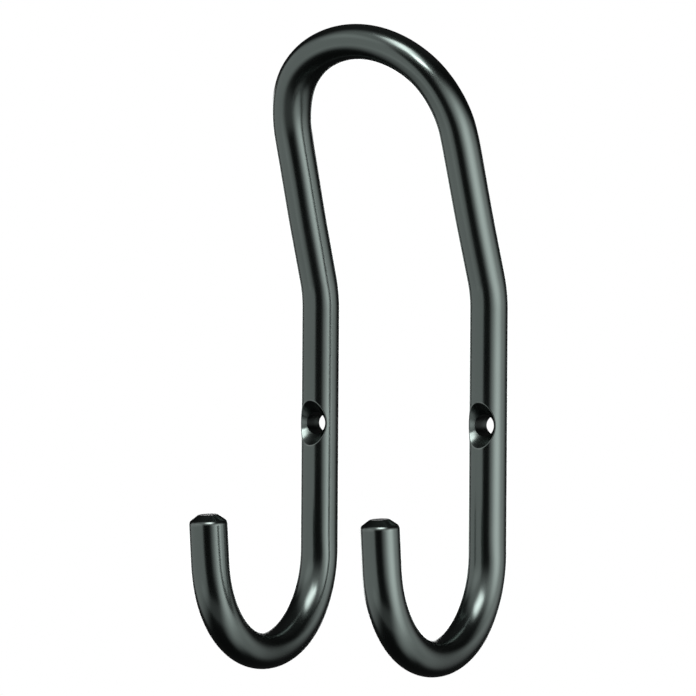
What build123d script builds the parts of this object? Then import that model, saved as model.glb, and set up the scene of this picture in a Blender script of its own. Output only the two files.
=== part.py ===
from build123d import *
import math
import os

# ---------------------------------------------------------------------------
# Double hook bent from one round bar.
# Two legs stand side by side against the wall.  The bottom of each leg turns
# forwards and up into a J hook.  Above the screw holes both legs lean forwards
# and join in an arch, which is the upper hook.
#
# Frame: +Z up, -Y forwards, away from the wall, X from one leg to the other.
# The origin is midway between the two screw holes, on the level of the bar's
# centreline, so the wall is the plane y = bar_diameter / 2.  Millimetres.
# ---------------------------------------------------------------------------

# bar
bar_diameter = 8.0
leg_spacing = 41.0          # centre to centre, and so the screw spacing

# J hooks
j_radius = 20.5             # centreline
j_bend = 174.5              # degrees of turn, so the tip leans 5.5 degrees out
tip_straight = 10.1         # straight bar after the bend, up to the end face
tip_bevel_width = 2.0       # bevel round the end face, measured across the face
tip_bevel_height = 1.4      # and along the bar
tip_lower_round = 1.2       # rounding where the bevel leaves the bar
tip_upper_round = 0.6       # rounding where the bevel meets the end face

# levels, measured up from the centre of the J bends
hole_level = 26.3
kink_level = 53.4           # where the two straight runs would cross

# upper hook
lean = 20.7                 # degrees forwards from the wall
kink_radius = 18.0          # centreline
upper_straight = 35.0       # from the crossing point to the start of the arch
arch_radius = 20.0          # centreline

# screw holes
hole_diameter = 4.5
sink_diameter = 9.4         # across the cone at the front of the bar
sink_angle = 90.0

# ---------------------------------------------------------------------------
# Path of the bar's centreline, right half, from the tip to the top of the arch
# ---------------------------------------------------------------------------
half = leg_spacing / 2
z_j = -hole_level                       # height of the J bends' centre
z_k = z_j + kink_level                  # height of the crossing point

lean_rad = math.radians(lean)
up_lean = Vector(0, -math.sin(lean_rad), math.cos(lean_rad))    # up the upper hook's plane

# The upper straights close in a little, so that they run tangentially into the arch:
# half = upper_straight * sin(toe) + arch_radius * cos(toe)
reach = math.hypot(upper_straight, arch_radius)
toe = math.asin(half / reach) - math.atan2(arch_radius, upper_straight)

bend = math.radians(j_bend)
j_start = Vector(half, 0, z_j)
j_mid = Vector(half, -j_radius * (1 - math.cos(bend / 2)), z_j - j_radius * math.sin(bend / 2))
j_end = Vector(half, -j_radius * (1 - math.cos(bend)), z_j - j_radius * math.sin(bend))
tip_dir = Vector(0, -math.sin(math.pi - bend), math.cos(math.pi - bend))
tip_end = j_end + tip_dir * tip_straight

corner = Vector(half, 0, z_k)
straight_dir = Vector(-math.sin(toe), 0, 0) + up_lean * math.cos(toe)
kink_turn = straight_dir.get_angle(Vector(0, 0, 1))
kink_setback = kink_radius * math.tan(math.radians(kink_turn) / 2)
kink_start = corner - Vector(0, 0, kink_setback)
kink_end = corner + straight_dir * kink_setback
arch_start = corner + straight_dir * upper_straight
arch_top = Vector(0, 0, z_k) + up_lean * (
    upper_straight * math.cos(toe) + arch_radius * (1 - math.sin(toe))
)

# ---------------------------------------------------------------------------
# The bar
# ---------------------------------------------------------------------------
with BuildPart() as double_hook:
    with BuildLine() as centreline:
        Line(tip_end, j_end)
        ThreePointArc(j_end, j_mid, j_start)
        Line(j_start, kink_start)
        TangentArc(kink_start, kink_end, tangent=(0, 0, 1))
        Line(kink_end, arch_start)
        TangentArc(arch_start, arch_top, tangent=straight_dir)
    with BuildSketch(Plane(origin=tip_end, z_dir=-tip_dir)) as section:
        Circle(bar_diameter / 2)
    sweep()

    # the bar's end: a shallow bevel with softened edges
    end_face = double_hook.faces().sort_by_distance(tip_end)[0]
    chamfer(end_face.edges(), tip_bevel_width, tip_bevel_height, reference=end_face)
    end_face = double_hook.faces().sort_by_distance(tip_end)[0]
    fillet(end_face.edges(), tip_upper_round)
    bevel = double_hook.faces().filter_by(GeomType.CONE)[0]
    fillet(bevel.edges().filter_by(GeomType.CIRCLE).sort_by(SortBy.RADIUS)[-1], tip_lower_round)

    # a countersunk screw hole straight through the leg, cone to the front
    with Locations(Plane(origin=(half, -bar_diameter / 2, 0), z_dir=(0, -1, 0))):
        CounterSinkHole(
            radius=hole_diameter / 2,
            counter_sink_radius=sink_diameter / 2,
            depth=bar_diameter + 1,
            counter_sink_angle=sink_angle,
        )

    # the left half is the same, mirrored about the middle of the arch
    mirror(about=Plane.YZ)

double_hook.part.label = "double_hook"

os.makedirs("parts", exist_ok=True)
export_step(double_hook.part, "parts/double_hook.step")

length = 2 * sum(e.length for e in centreline.edges())
print("bar length %.1f mm" % length)
print("volume %.0f mm3, plain bar %.0f mm3" % (
    double_hook.part.volume, length * math.pi * bar_diameter**2 / 4))
print("toe-in %.2f degrees, kink turn %.2f degrees" % (math.degrees(toe), kink_turn))
box = double_hook.part.bounding_box()
print("box", box.min, box.max, "size", box.size)
for face in double_hook.faces():
    print("  ", face.geom_type, round(face.area, 2))
print("solids", len(double_hook.part.solids()), "faces", len(double_hook.part.faces()),
      "valid", double_hook.part.is_valid)
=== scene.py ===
import math

import bpy
import numpy as np
from mathutils import Matrix, Vector


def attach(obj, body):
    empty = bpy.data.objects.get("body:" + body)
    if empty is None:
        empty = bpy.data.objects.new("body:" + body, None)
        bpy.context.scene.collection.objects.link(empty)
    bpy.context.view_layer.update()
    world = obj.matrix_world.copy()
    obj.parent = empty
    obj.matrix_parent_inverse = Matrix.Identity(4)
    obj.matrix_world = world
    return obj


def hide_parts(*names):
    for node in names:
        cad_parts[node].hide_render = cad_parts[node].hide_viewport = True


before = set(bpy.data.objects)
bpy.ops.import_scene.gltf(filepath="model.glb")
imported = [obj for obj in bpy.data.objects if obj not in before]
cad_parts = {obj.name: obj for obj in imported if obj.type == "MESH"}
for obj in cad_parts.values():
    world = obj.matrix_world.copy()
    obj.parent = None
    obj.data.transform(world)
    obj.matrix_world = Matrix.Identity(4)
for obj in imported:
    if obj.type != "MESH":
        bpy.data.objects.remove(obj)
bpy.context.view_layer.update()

# ---------------------------------------------------------------------------
# The hook is one round bar. Its mesh is swept here along the same centreline
# as the CAD solid, in millimetres, and scaled to metres at the end.
# ---------------------------------------------------------------------------

BAR_R = 4.0
HALF = 20.5                      # half the leg spacing
J_R, J_BEND = 20.5, math.radians(174.5)
TIP_STRAIGHT = 10.1
BEVEL_W, BEVEL_H = 2.0, 1.4      # across the end face, and along the bar
LOWER_ROUND, UPPER_ROUND = 1.2, 0.6
Z_J, Z_KINK = -26.3, 27.1
LEAN, KINK_R = math.radians(20.7), 18.0
UPPER, ARCH_R = 35.0, 20.0
BORE_R, SINK_R = 2.25, 4.7       # 90 degree countersink, its mouth at the crest of the bar

SECTION = 96                     # vertices round the bar
HOLE_SIDE = 20                   # half the hole patch, in section steps
HOLE_STEP, HOLE_ROWS = 0.4, 16   # half the hole patch, in rings

# How far the bends flatten the bar, and how far out the J's flattening runs into
# the straights. The J is flattened in its own plane. The arch is flattened across
# a direction turned back from its plane, because it was tilted after bending.
ARCH_FLAT, ARCH_FLAT_TURN, J_FLAT, FLAT_RUN = 0.105, math.radians(-34), 0.045, 9.0

# The made bend strays from the drawn one: the arch starts a little behind the
# straight runs' plane, and leans in front of it at the top.
SET_BACK, TIP_FORWARD = 0.45, 0.50


def unit(v):
    v = np.asarray(v, float)
    return v / np.linalg.norm(v)


def turned(v, axis, angle):
    """v turned about a unit axis."""
    c, s = math.cos(angle), math.sin(angle)
    return v * c + np.cross(axis, v) * s + axis * (axis @ v) * (1 - c)


def smoothstep(t):
    t = np.clip(t, 0.0, 1.0)
    return t * t * (3 - 2 * t)


class Route:
    """Stations along the right half, from the tip to the middle of the arch."""

    def __init__(self, point, tangent, across, side):
        self.p, self.t = np.array(point, float), unit(tangent)
        self.u, self.v = unit(across), unit(side)
        self.s = 0.0
        self.stations = [(self.s, self.p, self.t, self.u, self.v)]

    def _keep(self):
        self.stations.append((self.s, self.p.copy(), self.t.copy(), self.u.copy(), self.v.copy()))

    def line(self, lengths):
        for d in lengths:
            self.p = self.p + self.t * d
            self.s += d
            self._keep()

    def arc(self, radius, axis, angle, steps):
        axis = unit(axis)
        centre = self.p + np.cross(axis, self.t) * radius
        for _ in range(steps):
            a = angle / steps
            self.p = centre + turned(self.p - centre, axis, a)
            self.t, self.u, self.v = (unit(turned(w, axis, a)) for w in (self.t, self.u, self.v))
            self.s += radius * a
            self._keep()


def steps(length, about):
    n = max(1, round(length / about))
    return [length / n] * n


# The tip's own profile: distance from the axis, distance down from the end
# face, and how far the surface has turned from facing along the axis
slope = math.atan2(BEVEL_H, BEVEL_W)
up_t, low_t = UPPER_ROUND * math.tan(slope / 2), LOWER_ROUND * math.tan((math.pi / 2 - slope) / 2)
flat_r = BAR_R - BEVEL_W
profile = [(r, 0.0, 0.0) for r in (0.0, 0.35, 0.8, 1.25, flat_r - up_t)]
for i in range(1, 9):
    a = slope * i / 8
    profile.append((flat_r - up_t + UPPER_ROUND * math.sin(a), UPPER_ROUND * (1 - math.cos(a)), a))
start = profile[-1]
end = (BAR_R - low_t * math.cos(slope), BEVEL_H - low_t * math.sin(slope))
for i in range(1, 8):
    w = i / 7
    profile.append((start[0] * (1 - w) + end[0] * w, start[1] * (1 - w) + end[1] * w, slope))
for i in range(1, 13):
    a = slope + (math.pi / 2 - slope) * i / 12
    profile.append((
        BAR_R - LOWER_ROUND + LOWER_ROUND * math.sin(a),
        BEVEL_H + low_t - LOWER_ROUND * math.cos(a),
        a,
    ))
cap_len = profile[-1][1]

# The centreline
j_centre = np.array([HALF, -J_R, Z_J])
j_end = j_centre + np.array([0, J_R * math.cos(J_BEND), -J_R * math.sin(J_BEND)])
tip_dir = np.array([0, -math.sin(J_BEND), -math.cos(J_BEND)])
tip_end = j_end + tip_dir * TIP_STRAIGHT
across = np.array([0, math.cos(J_BEND), -math.sin(J_BEND)])   # away from the J bend's centre
side = np.array([1.0, 0, 0])

up_lean = np.array([0, -math.sin(LEAN), math.cos(LEAN)])
toe = math.asin(HALF / math.hypot(UPPER, ARCH_R)) - math.atan2(ARCH_R, UPPER)
straight_dir = np.array([-math.sin(toe), 0, 0]) + up_lean * math.cos(toe)
kink_turn = math.acos(straight_dir[2])
kink_back = KINK_R * math.tan(kink_turn / 2)

route = Route(tip_end - tip_dir * cap_len, -tip_dir, across, side)
route.line(steps(TIP_STRAIGHT - cap_len, 0.8))
route.arc(J_R, np.array([1.0, 0, 0]), J_BEND, 84)
hole_half = HOLE_STEP * HOLE_ROWS
route.line(steps(-Z_J - hole_half, 0.8))
first_row = len(route.stations) - 1
route.line([HOLE_STEP] * (2 * HOLE_ROWS))
last_row = len(route.stations) - 1
route.line(steps(Z_KINK - kink_back - hole_half, 0.8))
route.arc(KINK_R, np.cross([0, 0, 1.0], straight_dir), kink_turn, 16)
route.line(steps(UPPER - kink_back, 0.8))
arch_from = route.s
arch_axis = unit(np.cross(straight_dir, [-1.0, 0, 0]))
route.arc(ARCH_R, arch_axis, math.pi / 2 - toe, 54)
stations = route.stations
total = route.s

past = np.array([st[0] for st in stations]) - arch_from
forward = -SET_BACK * smoothstep((past + 22) / 22) + (SET_BACK + TIP_FORWARD) * smoothstep(past / 24)
outward_by = -0.25 * smoothstep((past + 4) / 9) * smoothstep((15 - past) / 9) + 0.1 * smoothstep((past - 10) / 12)
arch_centre = route.p + np.cross(arch_axis, route.t) * ARCH_R
moved = []
for (s, p, t, u, v), f, o in zip(stations, forward, outward_by):
    if past[len(moved)] > 0:
        off = p - arch_centre
    else:
        off = np.array([1.0, 0, 0])
    moved.append(p + arch_axis * f + unit(off) * o)
moved = np.array(moved)
along = np.gradient(moved, axis=0)
along[-1] = stations[-1][2]
for i, (s, p, t, u, v) in enumerate(stations):
    if past[i] <= -22:
        continue
    t2 = unit(along[i])
    u2 = unit(u - t2 * (u @ t2))
    v2 = np.cross(t2, u2)
    stations[i] = (s, moved[i], t2, u2, v2 if v2 @ v > 0 else -v2)

# The bends' flattening: in the J it lies along u. In the arch its direction keeps
# its place among u and v, which turn with the bend.
s_all = np.array([st[0] for st in stations])
j_from, j_to = TIP_STRAIGHT - cap_len, TIP_STRAIGHT - cap_len + J_R * J_BEND
flat_j = J_FLAT * smoothstep((s_all - j_from + FLAT_RUN / 2) / FLAT_RUN) * smoothstep((j_to + FLAT_RUN / 2 - s_all) / FLAT_RUN)
flat_arch = ARCH_FLAT * smoothstep((past + 5) / 22)
last = stations[-1]
out_dir = unit(np.cross(last[2], arch_axis))
if out_dir @ up_lean < 0:
    out_dir = -out_dir
out_dir = turned(out_dir, last[2], ARCH_FLAT_TURN * (1 if np.cross(last[2], out_dir) @ arch_axis > 0 else -1))
arch_angle = math.atan2(out_dir @ last[4], out_dir @ last[3])

phi = np.arange(SECTION) * 2 * math.pi / SECTION


def ring(station, flat_u, flat_a):
    """One ring's vertices and normals."""
    _, p, _, u, v = station
    o = np.stack([np.cos(phi), np.sin(phi)], 1) * BAR_R
    n = o.copy()
    for flat, ang in ((flat_u, 0.0), (flat_a, arch_angle)):
        d = np.array([math.cos(ang), math.sin(ang)])
        b = np.array([-d[1], d[0]])
        thin, wide = 1 - flat, 1 + (1.15 if ang else 0.35) * flat
        o = np.outer(o @ d * thin, d) + np.outer(o @ b * wide, b)
        n = np.outer(n @ d / thin, d) + np.outer(n @ b / wide, b)
    uv = np.stack([u, v])
    n = n @ uv
    return p + o @ uv, n / np.linalg.norm(n, axis=1)[:, None]


verts, norms, faces = [], [], []
bar = []      # where the point lies in the straight bar, before it was bent
edge = []     # how near a worn edge
cut = []      # 1 on surfaces left by a drill, countersink or bevelling tool
tool = []     # on those, how far along the tool's path


def put(points, normals, straight, worn=0.0, machined=0.0, path=0.0):
    first = len(verts)
    for i, (p, n) in enumerate(zip(points, normals)):
        verts.append(p)
        norms.append(n)
        bar.append(straight[i])
        edge.append(float(worn))
        cut.append(float(machined))
        tool.append(float(path[i]) if np.ndim(path) else float(path))
    return np.arange(first, len(verts))


def strip(a, b, flip=False):
    """Quads between two closed rings of the same count."""
    n = len(a)
    for j in range(n):
        q = (a[j], b[j], b[(j + 1) % n], a[(j + 1) % n])
        faces.append(q[::-1] if flip else q)


# the end of the bar
e_u, e_v = stations[0][3], stations[0][4]
round_bar = np.stack([np.cos(phi), np.sin(phi), np.zeros(SECTION)], 1)
centre = put([tip_end], [tip_dir], [(0, 0, -cap_len)], 0, 1)[0]
before, path = None, 0.0
out = np.outer(np.cos(phi), e_u) + np.outer(np.sin(phi), e_v)
for i, (r, h, a) in enumerate(profile[1:-1], 1):
    nn = out * math.sin(a) + tip_dir * math.cos(a)
    worn = 1.0 if 5 <= i <= 12 else 0.6 if i >= len(profile) - 12 else 0.0
    path += math.hypot(r - profile[i - 1][0], h - profile[i - 1][1])
    now = put(tip_end + out * r - tip_dir * h, nn, round_bar * r + [0, 0, h - cap_len], worn, 1.0 if a < 1.2 else 0.0, path)
    if before is None:
        for j in range(SECTION):
            faces.append((centre, now[j], now[(j + 1) % SECTION]))
    else:
        strip(before, now)
    before = now

# the bar
rings = []
for i, st in enumerate(stations):
    p, n = ring(st, flat_j[i], flat_arch[i])
    if i + 1 == len(stations):
        p[:, 0] = 0.0
    rings.append(put(p, n, round_bar * BAR_R + [0, 0, st[0]], 0, 0, TIP_STRAIGHT))
strip(before, rings[0])

front, back = SECTION // 2, 0


def in_patch(i, j):
    if not first_row <= i < last_row:
        return False
    f = (j - (front - HOLE_SIDE)) % SECTION
    b = (j - (back - HOLE_SIDE)) % SECTION
    return f < 2 * HOLE_SIDE or b < 2 * HOLE_SIDE


for i in range(len(rings) - 1):
    for j in range(SECTION):
        if not in_patch(i, j):
            faces.append((rings[i][j], rings[i + 1][j], rings[i + 1][(j + 1) % SECTION], rings[i][(j + 1) % SECTION]))

# ---------------------------------------------------------------------------
# The screw hole: a patch of the bar's surface round each mouth, the softened
# rim, the cone, the bore and the plain exit at the back.
# ---------------------------------------------------------------------------


def border(side_sign):
    """The patch's outer loop, as grid vertices with their (x, z) from the hole's centre."""
    mid = front if side_sign < 0 else back
    loop = []
    for di in range(-HOLE_ROWS, HOLE_ROWS):
        loop.append((di, HOLE_SIDE))
    for dj in range(HOLE_SIDE, -HOLE_SIDE, -1):
        loop.append((HOLE_ROWS, dj))
    for di in range(HOLE_ROWS, -HOLE_ROWS, -1):
        loop.append((di, -HOLE_SIDE))
    for dj in range(-HOLE_SIDE, HOLE_SIDE):
        loop.append((-HOLE_ROWS, dj))
    out = []
    for di, dx in loop:
        # dx counts section steps towards +X; the front runs the other way round
        j = (mid + (dx if side_sign > 0 else -dx)) % SECTION
        i = (first_row + last_row) // 2 + di
        ang = dx * 2 * math.pi / SECTION
        out.append((rings[i][j], BAR_R * ang, di * HOLE_STEP))
    return out


def surface(s, z, side_sign):
    """A point of the leg's surface at arc length s towards +X and height z, and its normal."""
    a = s / BAR_R
    n = np.array([math.sin(a), side_sign * math.cos(a), 0.0])
    return np.array([HALF, 0, z]) + n * BAR_R, n


rim_soft, step_soft, back_soft = 0.20, 0.10, 0.16
loop_f, loop_b = border(-1), border(+1)
theta = [math.atan2(z, s) for _, s, z in loop_f]
N = len(theta)
leg = stations[(first_row + last_row) // 2]


def on_bar(points):
    """Points of the leg, in the straight bar."""
    return [(d @ leg[3], d @ leg[4], leg[0] + d @ leg[2]) for d in (np.asarray(p) - leg[1] for p in points)]


def put_hole(points, normals, worn, machined, path=0.0):
    return put(points, normals, on_bar(points), worn, machined, path)


def mouth(t):
    """The cone's edge on the bar's front: distance from the hole's axis at the angle t."""
    c = math.cos(t) ** 2
    g = SINK_R - BAR_R
    return (2 * g + math.sqrt(4 * g * g + 4 * (1 + c) * (BAR_R ** 2 - g * g))) / (2 * (1 + c))


def edge_sz(t, radius):
    x, z = radius * math.cos(t), radius * math.sin(t)
    return np.array([BAR_R * math.asin(x / BAR_R), z])


def outward(t, shape):
    """The unit normal, in (s, z), of the edge curve."""
    a, b = edge_sz(t - 1e-4, shape(t - 1e-4)), edge_sz(t + 1e-4, shape(t + 1e-4))
    d = (b - a) / np.linalg.norm(b - a)
    return np.array([d[1], -d[0]])


def patch(loop, inner_sz, inner_ring, side_sign, flip):
    """Rings of surface between the rim's outer edge and the grid."""
    last_ring, rows = inner_ring, 11
    for k_row in range(1, rows):
        w = (k_row / rows) ** 1.25
        pts, nrm = [], []
        for (idx, s, z), q in zip(loop, inner_sz):
            c = np.array(q) * (1 - w) + np.array([s, z]) * w
            p, n = surface(c[0], c[1], side_sign)
            pts.append(p)
            nrm.append(n)
        now = put_hole(pts, nrm, 0, 0)
        strip(last_ring, now, flip)
        last_ring = now
    strip(last_ring, np.array([i for i, _, _ in loop]), flip)


def bezier(a, e, c, w):
    return a * (1 - w) ** 2 + e * 2 * w * (1 - w) + c * w * w


def slide(na, nc, w):
    """Normal part way round a softened edge."""
    return unit(na * (1 - w) + nc * w)


axis0 = np.array([HALF, 0.0, 0.0])
ROUND = 6

# front rim: bar surface -> cone
rim_a, rim_e, rim_c, n_a, n_c, inner = [], [], [], [], [], []
for t in theta:
    r = mouth(t)
    q = edge_sz(t, r) + outward(t, mouth) * rim_soft
    p, n = surface(q[0], q[1], -1)
    inner.append(q)
    rim_a.append(p)
    n_a.append(n)
    y = SINK_R - BAR_R - r
    rim_e.append(axis0 + np.array([r * math.cos(t), y, r * math.sin(t)]))
    d = rim_soft / math.sqrt(2)
    rim_c.append(axis0 + np.array([(r - d) * math.cos(t), y + d, (r - d) * math.sin(t)]))
    n_c.append(unit([-math.cos(t), -1.0, -math.sin(t)]))
front_ring = put_hole(rim_a, n_a, 0.4, 0)
patch(loop_f, inner, front_ring, -1, False)
before = front_ring
for i in range(1, ROUND + 1):
    w = i / ROUND
    pts = [bezier(a, e, c, w) for a, e, c in zip(rim_a, rim_e, rim_c)]
    radial = [math.sqrt(2) * math.hypot(p[0] - HALF, p[2]) for p in pts]
    now = put_hole(pts, [slide(x, y, w) for x, y in zip(n_a, n_c)], 1.0 if i < ROUND else 0.4, 1.0 if i > 2 else 0.0, radial)
    strip(before, now, True)
    before = now

# cone
top_r = [math.hypot(p[0] - HALF, p[2]) for p in rim_c]
low_r = BORE_R + step_soft / math.sqrt(2)
for i in range(1, 8):
    w = i / 7
    pts = []
    for t, r0 in zip(theta, top_r):
        r = r0 * (1 - w) + low_r * w
        pts.append(axis0 + np.array([r * math.cos(t), SINK_R - BAR_R - r, r * math.sin(t)]))
    now = put_hole(pts, n_c, 0.0, 1.0, [math.sqrt(2) * math.hypot(p[0] - HALF, p[2]) for p in pts])
    strip(before, now, True)
    before = now

# the step from cone to bore
y_step = SINK_R - BAR_R - BORE_R
for i in range(1, 5):
    w = i / 4
    pts, nrm = [], []
    for t, nc in zip(theta, n_c):
        c, s = math.cos(t), math.sin(t)
        a = axis0 + np.array([low_r * c, SINK_R - BAR_R - low_r, low_r * s])
        e = axis0 + np.array([BORE_R * c, y_step, BORE_R * s])
        b = axis0 + np.array([BORE_R * c, y_step + step_soft, BORE_R * s])
        pts.append(bezier(a, e, b, w))
        nrm.append(slide(nc, np.array([-c, 0.0, -s]), w))
    now = put_hole(pts, nrm, 0.3, 1.0, [math.sqrt(2) * BORE_R - i / 4 * step_soft] * N)
    strip(before, now, True)
    before = now

# the bore
n_bore = [np.array([-math.cos(t), 0.0, -math.sin(t)]) for t in theta]
exit_y = [math.sqrt(BAR_R ** 2 - (BORE_R * math.cos(t)) ** 2) for t in theta]
for i in range(1, 9):
    w = i / 8
    pts = []
    for t, ye in zip(theta, exit_y):
        y = (y_step + step_soft) * (1 - w) + (ye - back_soft) * w
        pts.append(axis0 + np.array([BORE_R * math.cos(t), y, BORE_R * math.sin(t)]))
    now = put_hole(pts, n_bore, 0.0, 1.0, [math.sqrt(2) * BORE_R + y_step - p[1] for p in pts])
    strip(before, now, True)
    before = now

# back rim: bore -> bar surface
outer, n_out, inner = [], [], []
for t in theta:
    q = edge_sz(t, BORE_R) + outward(t, lambda _: BORE_R) * back_soft
    p, n = surface(q[0], q[1], +1)
    inner.append(q)
    outer.append(p)
    n_out.append(n)
for i in range(1, ROUND + 1):
    w = i / ROUND
    pts = []
    for t, ye, b in zip(theta, exit_y, outer):
        c, s = math.cos(t), math.sin(t)
        a = axis0 + np.array([BORE_R * c, ye - back_soft, BORE_R * s])
        e = axis0 + np.array([BORE_R * c, ye, BORE_R * s])
        pts.append(bezier(a, e, b, w))
    deep = [math.sqrt(2) * BORE_R + y_step - p[1] for p in pts]
    now = put_hole(pts, [slide(x, y, w) for x, y in zip(n_bore, n_out)], 1.0 if i < ROUND else 0.4, 1.0 if i < 3 else 0.0, deep)
    strip(before, now, True)
    before = now
patch(loop_b, inner, before, +1, True)

# ---------------------------------------------------------------------------
# Mirror the half, and share the ring at the middle of the arch.
# ---------------------------------------------------------------------------

half_count = len(verts)
V = np.array(verts)
Nn = np.array(norms)
shared = set(int(i) for i in rings[-1])
for i in shared:
    V[i, 0] = 0.0
    Nn[i, 0] = 0.0
Nn /= np.linalg.norm(Nn, axis=1)[:, None]
left_of, extra = np.zeros(half_count, int), []
for i in range(half_count):
    if i in shared:
        left_of[i] = i
    else:
        left_of[i] = half_count + len(extra)
        extra.append(i)
flip_x = np.array([-1.0, 1, 1])
allV = np.vstack([V, V[extra] * flip_x]) * 0.001
allN = np.vstack([Nn, Nn[extra] * flip_x])
half_faces = [tuple(int(i) for i in f) for f in faces]
all_faces = half_faces + [tuple(int(left_of[i]) for i in reversed(f)) for f in half_faces]
right_bar = np.array(bar, float)
left_bar = right_bar[extra]
left_bar[:, 2] = 2 * total - left_bar[:, 2]
all_bar = np.vstack([right_bar, left_bar]) * 0.001
all_edge, all_cut, all_tool = (np.concatenate([np.array(a), np.array(a)[extra]]) for a in (edge, cut, tool))
all_tool = all_tool * 0.001

# the grid's vertices inside the hole patches are in no face
used = np.unique([i for f in all_faces for i in f])
renumber = np.full(len(allV), -1)
renumber[used] = np.arange(len(used))
all_faces = [tuple(int(renumber[i]) for i in f) for f in all_faces]
allV, allN, all_bar = allV[used], allN[used], all_bar[used]
all_edge, all_cut, all_tool = all_edge[used], all_cut[used], all_tool[used]

mesh = bpy.data.meshes.new("bent_bar")
mesh.from_pydata([tuple(v) for v in allV], [], all_faces)
mesh.update()
for name, values in (("edge", all_edge), ("cut", all_cut), ("tool", all_tool)):
    a = mesh.attributes.new(name, "FLOAT", "POINT")
    a.data.foreach_set("value", values.astype(np.float32))
a = mesh.attributes.new("bar", "FLOAT_VECTOR", "POINT")
a.data.foreach_set("vector", all_bar.astype(np.float32).ravel())
mesh.polygons.foreach_set("use_smooth", [True] * len(mesh.polygons))
mesh.normals_split_custom_set_from_vertices([tuple(n) for n in allN])
hook = bpy.data.objects.new("bent_bar", mesh)
bpy.context.scene.collection.objects.link(hook)

# ---------------------------------------------------------------------------
# Material
# ---------------------------------------------------------------------------

mat = bpy.data.materials.new("black_nickel")
mat.use_nodes = True
tree = mat.node_tree
bsdf = tree.nodes["Principled BSDF"]
bsdf.inputs["Metallic"].default_value = 1.0


def node(kind, **settings):
    n = tree.nodes.new(kind)
    for key, value in settings.items():
        setattr(n, key, value)
    return n


def link(out, into):
    if isinstance(out, (int, float)):
        into.default_value = out
    else:
        tree.links.new(out, into)


def maths(operation, a, b=0.0, c=0.0):
    n = node("ShaderNodeMath", operation=operation)
    for value, socket in zip((a, b, c), n.inputs):
        link(value, socket)
    return n.outputs[0]


def stored(name, vector=False):
    n = node("ShaderNodeAttribute", attribute_name=name)
    return n.outputs["Vector" if vector else "Fac"]


def scaled(vector, x, y, z):
    n = node("ShaderNodeVectorMath", operation="MULTIPLY")
    tree.links.new(vector, n.inputs[0])
    n.inputs[1].default_value = (x, y, z)
    return n.outputs[0]


def noise(vector, scale, detail=2.0, rough=0.5):
    """Noise about 0, from about -0.5 to 0.5."""
    n = node("ShaderNodeTexNoise")
    tree.links.new(vector, n.inputs["Vector"])
    n.inputs["Scale"].default_value = scale
    n.inputs["Detail"].default_value = detail
    n.inputs["Roughness"].default_value = rough
    return maths("SUBTRACT", n.outputs["Fac"], 0.5)


def ramp(value, a, b, to_a=0.0, to_b=1.0):
    n = node("ShaderNodeMapRange", interpolation_type="SMOOTHSTEP")
    link(value, n.inputs["Value"])
    for name, v in (("From Min", a), ("From Max", b), ("To Min", to_a), ("To Max", to_b)):
        n.inputs[name].default_value = v
    return n.outputs[0]


def mixed(factor, a, b):
    n = node("ShaderNodeMix", data_type="RGBA")
    link(factor, n.inputs["Factor"])
    for value, socket in ((a, n.inputs["A"]), (b, n.inputs["B"])):
        if isinstance(value, tuple):
            socket.default_value = value + (1.0,)
        else:
            tree.links.new(value, socket)
    return n.outputs["Result"]


bar_at = stored("bar", True)
worn, machined = stored("edge"), stored("cut")
tool_at = node("ShaderNodeCombineXYZ")
tree.links.new(stored("tool"), tool_at.inputs[0])

# how deep inside a screw hole: 0 at the bar's surface and on the tips, 1 well inside; it paints shade into the holes'
# colour and dulls their gloss
xyz = node("ShaderNodeSeparateXYZ")
tree.links.new(bar_at, xyz.inputs[0])
from_axis = maths("SQRT", maths("ADD", maths("MULTIPLY", xyz.outputs[0], xyz.outputs[0]),
                                maths("MULTIPLY", xyz.outputs[1], xyz.outputs[1])))
from_tip = maths("SUBTRACT", total * 0.001, maths("ABSOLUTE", maths("SUBTRACT", xyz.outputs[2], total * 0.001)))
hole_shade_and_dullness = maths("MULTIPLY", machined, maths("MULTIPLY", ramp(from_axis, 0.0034, 0.0022), ramp(from_tip, 0.015, 0.025)))

# colour: the plating is a little uneven in depth, with painted shade darkening it inside the holes towards the bore,
# and thinner where an edge was rubbed
cloud = noise(bar_at, 38.0, 3.0, 0.55)
streak = noise(scaled(bar_at, 900.0, 900.0, 14.0), 1.0, 2.0)
depth = maths("MULTIPLY_ADD", streak, 0.5, maths("ADD", cloud, 0.5))
plating_and_hole_shade = mixed(depth, (0.087, 0.104, 0.098), (0.106, 0.126, 0.119))
# painted shade: the colour inside the screw holes is darkened towards the bore
plating_and_hole_shade = mixed(maths("MULTIPLY", hole_shade_and_dullness, 0.75), plating_and_hole_shade, (0.02, 0.024, 0.022))
rubbed = maths("MULTIPLY", worn, ramp(noise(bar_at, 520.0, 3.0, 0.6), -0.22, 0.2, 0.15, 0.6))
tree.links.new(mixed(rubbed, plating_and_hole_shade, (0.185, 0.206, 0.198)), bsdf.inputs["Base Color"])

# gloss: polished bar, with faint cloudiness; the drilled and bevelled faces were cut
# after polishing, so only the plating and their turning marks soften them
handled = noise(bar_at, 110.0, 4.0, 0.6)
fine = noise(bar_at, 2400.0, 2.0, 0.5)
gloss = maths("MULTIPLY_ADD", handled, 0.07, 0.205)
gloss = maths("MULTIPLY_ADD", fine, 0.03, gloss)
gloss = maths("MULTIPLY_ADD", streak, 0.03, gloss)
gloss = maths("MULTIPLY_ADD", machined, -0.01, gloss)
gloss = maths("MULTIPLY_ADD", hole_shade_and_dullness, 0.12, gloss)
gloss = maths("MAXIMUM", gloss, 0.12)
tree.links.new(gloss, bsdf.inputs["Roughness"])

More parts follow.
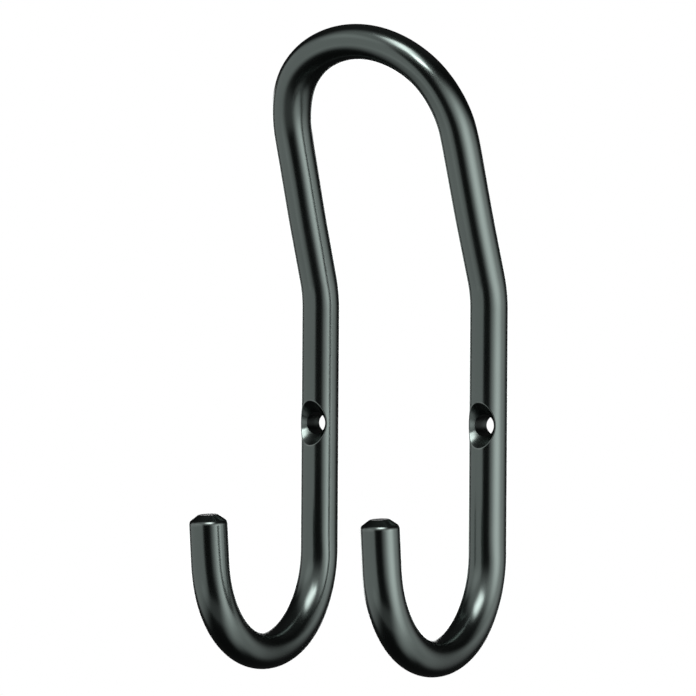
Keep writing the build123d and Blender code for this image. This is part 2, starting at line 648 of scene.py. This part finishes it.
# relief, in metres: the plating's gentle waviness, drawing lines along the bar,
# polishing marks round it, and turning marks on the machined faces
wave = maths("MULTIPLY", noise(bar_at, 230.0, 2.0, 0.45), 9e-6)
drawn = maths("MULTIPLY", noise(scaled(bar_at, 1500.0, 1500.0, 9.0), 1.0, 3.0, 0.6), 2.6e-6)
polish = maths("MULTIPLY", noise(scaled(bar_at, 260.0, 260.0, 5200.0), 1.0, 3.0, 0.65), 0.9e-6)
turning = maths("MULTIPLY", maths("MULTIPLY", noise(tool_at.outputs[0], 7000.0, 3.0, 0.6), machined), 7e-6)
height = maths("ADD", maths("ADD", wave, drawn), maths("ADD", polish, turning))
bump = node("ShaderNodeBump")
bump.inputs["Strength"].default_value = 1.0
bump.inputs["Distance"].default_value = 1.0
tree.links.new(height, bump.inputs["Height"])
tree.links.new(bump.outputs["Normal"], bsdf.inputs["Normal"])
mesh.materials.append(mat)

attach(hook, "root")
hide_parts("double_hook")

# ---------------------------------------------------------------------------
# Camera: the photograph's viewing angle
# ---------------------------------------------------------------------------

CAM_AZ, CAM_EL, CAM_ROLL = 0.5645466, -0.0010258, 0.0065489
CAM_DIST, CAM_LENS = 0.98988, 246.63
SHIFT_R, SHIFT_U = 1.408702 * 0.008, -5.262145 * 0.008

back_v = Vector((math.sin(CAM_AZ) * math.cos(CAM_EL), -math.cos(CAM_AZ) * math.cos(CAM_EL), math.sin(CAM_EL)))
right_v = Vector((math.cos(CAM_AZ), math.sin(CAM_AZ), 0))
up_v = back_v.cross(right_v)
r2 = right_v * math.cos(CAM_ROLL) + up_v * math.sin(CAM_ROLL)
u2 = up_v * math.cos(CAM_ROLL) - right_v * math.sin(CAM_ROLL)
target = -r2 * SHIFT_R - u2 * SHIFT_U - Vector((0, 0, 0.0263))
cam_data = bpy.data.cameras.new("camera")
cam_data.sensor_width = 36
cam_data.lens = CAM_LENS
cam_data.clip_start, cam_data.clip_end = 0.05, 20
cam = bpy.data.objects.new("camera", cam_data)
cam.matrix_world = Matrix((
    (r2.x, u2.x, back_v.x, 0), (r2.y, u2.y, back_v.y, 0), (r2.z, u2.z, back_v.z, 0), (0, 0, 0, 1)
))
cam.location = target + back_v * CAM_DIST
bpy.context.scene.collection.objects.link(cam)
bpy.context.scene.camera = cam

# ---------------------------------------------------------------------------
# Light, backdrop and floor
# ---------------------------------------------------------------------------

scene = bpy.context.scene
scene.view_settings.view_transform = "Standard"

CENTRE = Vector((0, -0.02, 0.015))


def softbox(name, azimuth, elevation, width, height, radiance, fade, distance=1.2, about=CENTRE, grid=180):
    """A soft rectangular lamp. Azimuth is from the camera, to the right; width and
    height are the angles it fills; fade is how much of each half grades to black;
    grid is how widely its light fans out, in degrees."""
    az, el = CAM_AZ + math.radians(azimuth), math.radians(elevation)
    away = Vector((math.sin(az) * math.cos(el), -math.cos(az) * math.cos(el), math.sin(el)))
    lamp = bpy.data.lights.new(name, "AREA")
    lamp.shape = "RECTANGLE"
    lamp.size = 2 * distance * math.tan(math.radians(width / 2))
    lamp.size_y = 2 * distance * math.tan(math.radians(height / 2))
    lamp.energy = radiance * math.pi * lamp.size * lamp.size_y
    lamp.spread = math.radians(grid)
    lamp.use_nodes = True
    nt = lamp.node_tree
    emission = nt.nodes["Emission"]
    place = nt.nodes.new("ShaderNodeNewGeometry")
    split = nt.nodes.new("ShaderNodeSeparateXYZ")
    nt.links.new(place.outputs["Parametric"], split.inputs[0])
    falls = []
    for axis, share in zip("XY", fade):
        off = nt.nodes.new("ShaderNodeMath")
        off.operation = "SUBTRACT"
        nt.links.new(split.outputs[axis], off.inputs[0])
        off.inputs[1].default_value = 0.5
        size = nt.nodes.new("ShaderNodeMath")
        size.operation = "ABSOLUTE"
        nt.links.new(off.outputs[0], size.inputs[0])
        ramp = nt.nodes.new("ShaderNodeMapRange")
        ramp.interpolation_type = "SMOOTHSTEP"
        nt.links.new(size.outputs[0], ramp.inputs["Value"])
        ramp.inputs["From Min"].default_value = 0.5
        ramp.inputs["From Max"].default_value = 0.5 * (1 - share)
        falls.append(ramp.outputs[0])
    both = nt.nodes.new("ShaderNodeMath")
    both.operation = "MULTIPLY"
    nt.links.new(falls[0], both.inputs[0])
    nt.links.new(falls[1], both.inputs[1])
    nt.links.new(both.outputs[0], emission.inputs["Strength"])
    obj = bpy.data.objects.new(name, lamp)
    obj.location = about + away * distance
    obj.rotation_euler = (-away).to_track_quat("-Z", "Y").to_euler()
    obj.visible_camera = False
    scene.collection.objects.link(obj)
    return obj


softbox("key_right", 57, -4, 106, 91, 2.06, (1.0, 1.0), 0.35)
softbox("low_right", 57, -30, 65, 120, 1.66, (1.0, 1.0), 0.35)
softbox("rim_right", 103, -22, 48, 90, 0.74, (1.0, 0.62), 0.35)
softbox("wash_left", -78, -5, 101, 103, 0.89, (0.3, 0.68))
softbox("top_spot", 5, 59, 50, 36, 7.9, (0.97, 0.4))
softbox("arch_spot", 15, 35, 32, 22, 0.44, (0.5, 0.5), 0.25, Vector((0.0107, -0.018, 0.076)), 28)
softbox("top_front", -24, 51, 119, 85, 0.75, (0.67, 0.95))
softbox("low_front", -1, -56, 113, 27, 0.24, (0.2, 0.3))
softbox("back", 183, -3, 80, 22, 3.0, (0.4, 0.3))
softbox("top_back", 200, 70, 110, 80, 0.03, (0.5, 0.9))

FLOOR_Z = -0.066
disc = bpy.data.meshes.new("floor")
reach = 3.0
disc.from_pydata([(x * reach, y * reach, FLOOR_Z) for x, y in ((-1, -1), (1, -1), (1, 1), (-1, 1))], [], [(0, 1, 2, 3)])
floor = bpy.data.objects.new("floor", disc)
scene.collection.objects.link(floor)
floor.visible_glossy = False
floor.visible_shadow = False
pale = bpy.data.materials.new("floor")
pale.use_nodes = True
ft = pale.node_tree
ft.nodes.clear()
where = ft.nodes.new("ShaderNodeTexCoord")
off = ft.nodes.new("ShaderNodeVectorMath")
off.operation = "SUBTRACT"
off.inputs[1].default_value = (0.0, -0.02, FLOOR_Z)
ft.links.new(where.outputs["Object"], off.inputs[0])
far = ft.nodes.new("ShaderNodeVectorMath")
far.operation = "LENGTH"
ft.links.new(off.outputs[0], far.inputs[0])
fade = ft.nodes.new("ShaderNodeMapRange")
fade.interpolation_type = "SMOOTHSTEP"
fade.inputs["From Min"].default_value = 0.02
fade.inputs["From Max"].default_value = 0.12
ft.links.new(far.outputs["Value"], fade.inputs["Value"])
matt = ft.nodes.new("ShaderNodeBsdfDiffuse")
matt.inputs["Color"].default_value = (0.82, 0.82, 0.81, 1)
white = ft.nodes.new("ShaderNodeEmission")
both = ft.nodes.new("ShaderNodeMixShader")
ft.links.new(fade.outputs[0], both.inputs[0])
ft.links.new(matt.outputs[0], both.inputs[1])
ft.links.new(white.outputs[0], both.inputs[2])
out = ft.nodes.new("ShaderNodeOutputMaterial")
ft.links.new(both.outputs[0], out.inputs["Surface"])
disc.materials.append(pale)

# The world is white where the camera sees it, dim in reflections, and between
# the two for the floor's own light.
world = bpy.data.worlds.new("studio")
world.use_nodes = True
scene.world = world
wt = world.node_tree
background = wt.nodes["Background"]
ray = wt.nodes.new("ShaderNodeLightPath")
lit = wt.nodes.new("ShaderNodeMix")
lit.data_type = "FLOAT"
lit.inputs["A"].default_value = 0.018
lit.inputs["B"].default_value = 0.4
wt.links.new(ray.outputs["Is Diffuse Ray"], lit.inputs["Factor"])
seen = wt.nodes.new("ShaderNodeMix")
seen.data_type = "FLOAT"
seen.inputs["B"].default_value = 1.0
wt.links.new(lit.outputs["Result"], seen.inputs["A"])
wt.links.new(ray.outputs["Is Camera Ray"], seen.inputs["Factor"])
wt.links.new(seen.outputs["Result"], background.inputs["Strength"])
background.inputs["Color"].default_value = (1, 1, 1, 1)
